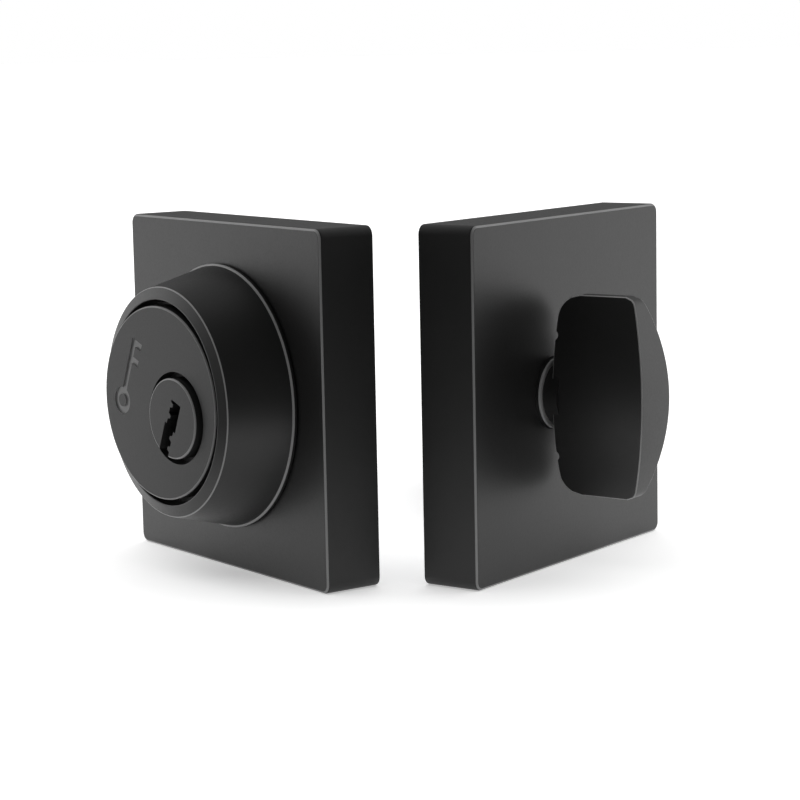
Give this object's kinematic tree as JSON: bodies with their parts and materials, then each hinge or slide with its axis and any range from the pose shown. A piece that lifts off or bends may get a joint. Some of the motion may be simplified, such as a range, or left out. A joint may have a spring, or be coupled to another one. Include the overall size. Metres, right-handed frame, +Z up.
{
  "type": "deadbolt door lock",
  "caption": "Square deadbolt lock: keyed cylinder with collar on one rose, thumbturn on the other, with latch bolt, strike, dust box and fixings laid behind.",
  "frame": {"origin": "centre of the outside rosette's back face, where the middle of the door's cross bore comes", "axes": "+Y runs into the door from the outside rosette, +Z is up, the surface the lock stands on is at z = -33 mm"},
  "size_m": [0.1668, 0.1483, 0.066],
  "materials": {
    "black_coat": "satin",
    "plated_steel": "satin",
    "hard_steel": "satin",
    "brass": "satin",
    "nylon": "matte",
    "dark_plastic": "matte"
  },
  "bodies": {
    "base": {"outer_rosette": "black_coat", "outer_plate": "plated_steel", "plate_screws": "plated_steel", "collar_washer": "nylon", "cylinder_body": "black_coat", "cylinder_clip": "plated_steel", "chamber_cover": "brass", "driver_pins": "brass", "pin_springs": "plated_steel", "inner_rosette": "black_coat", "inner_plate": "plated_steel", "set_screw": "hard_steel", "turn_bushing": "dark_plastic", "wave_washer": "plated_steel", "latch_faceplate": "black_coat", "latch_backing": "plated_steel", "latch_tube": "plated_steel", "case_left": "plated_steel", "case_right": "plated_steel", "case_rivets": "plated_steel", "face_screws": "plated_steel", "strike_plate": "black_coat", "dust_box": "dark_plastic", "strike_screws": "plated_steel", "torque_blade": "plated_steel", "mounting_screws": "plated_steel"},
    "plug": {"plug": "black_coat", "key_pins": "brass", "tail_cam": "plated_steel", "cam_screws": "plated_steel"},
    "collar": {"collar": "black_coat"},
    "thumbturn": {"thumbturn": "black_coat", "turn_clip": "plated_steel", "turn_hub": "plated_steel"},
    "latch_cam": {"latch_cam": "plated_steel"},
    "bolt": {"bolt": "plated_steel", "bolt_roller": "hard_steel", "bolt_carrier": "plated_steel", "carrier_pin": "hard_steel"}
  },
  "joints": [
    {"name": "plug_turn", "type": "hinge", "parent": "base", "child": "plug", "pos_m": [0.00406, 0.00028, -0.00225], "axis": [-0.0576, 0.9983, 0], "range_deg": [-90, 90]},
    {"name": "collar_spin", "type": "hinge", "parent": "base", "child": "collar", "pos_m": [0, 0, 0], "axis": [0, 1, 0], "continuous": true},
    {"name": "thumbturn_turn", "type": "hinge", "parent": "base", "child": "thumbturn", "pos_m": [0.02948, 0.03231, 0], "axis": [-0.9511, -0.309, 0], "range_deg": [0, 90]},
    {"name": "latch_cam_turn", "type": "hinge", "parent": "base", "child": "latch_cam", "pos_m": [-0.04585, 0.02528, -0.02341], "axis": [-0.5878, -0.809, 0], "range_deg": [0, 90]},
    {"name": "bolt_slide", "type": "slide", "parent": "base", "child": "bolt", "axis": [-0.7899, 0.5739, 0.216], "range_m": [0, 0.02]}
  ],
  "couplings": [
    {"joint": "thumbturn_turn", "follows": "bolt_slide", "rad_per_m": 78.54},
    {"joint": "latch_cam_turn", "follows": "bolt_slide", "rad_per_m": 78.54}
  ]
}
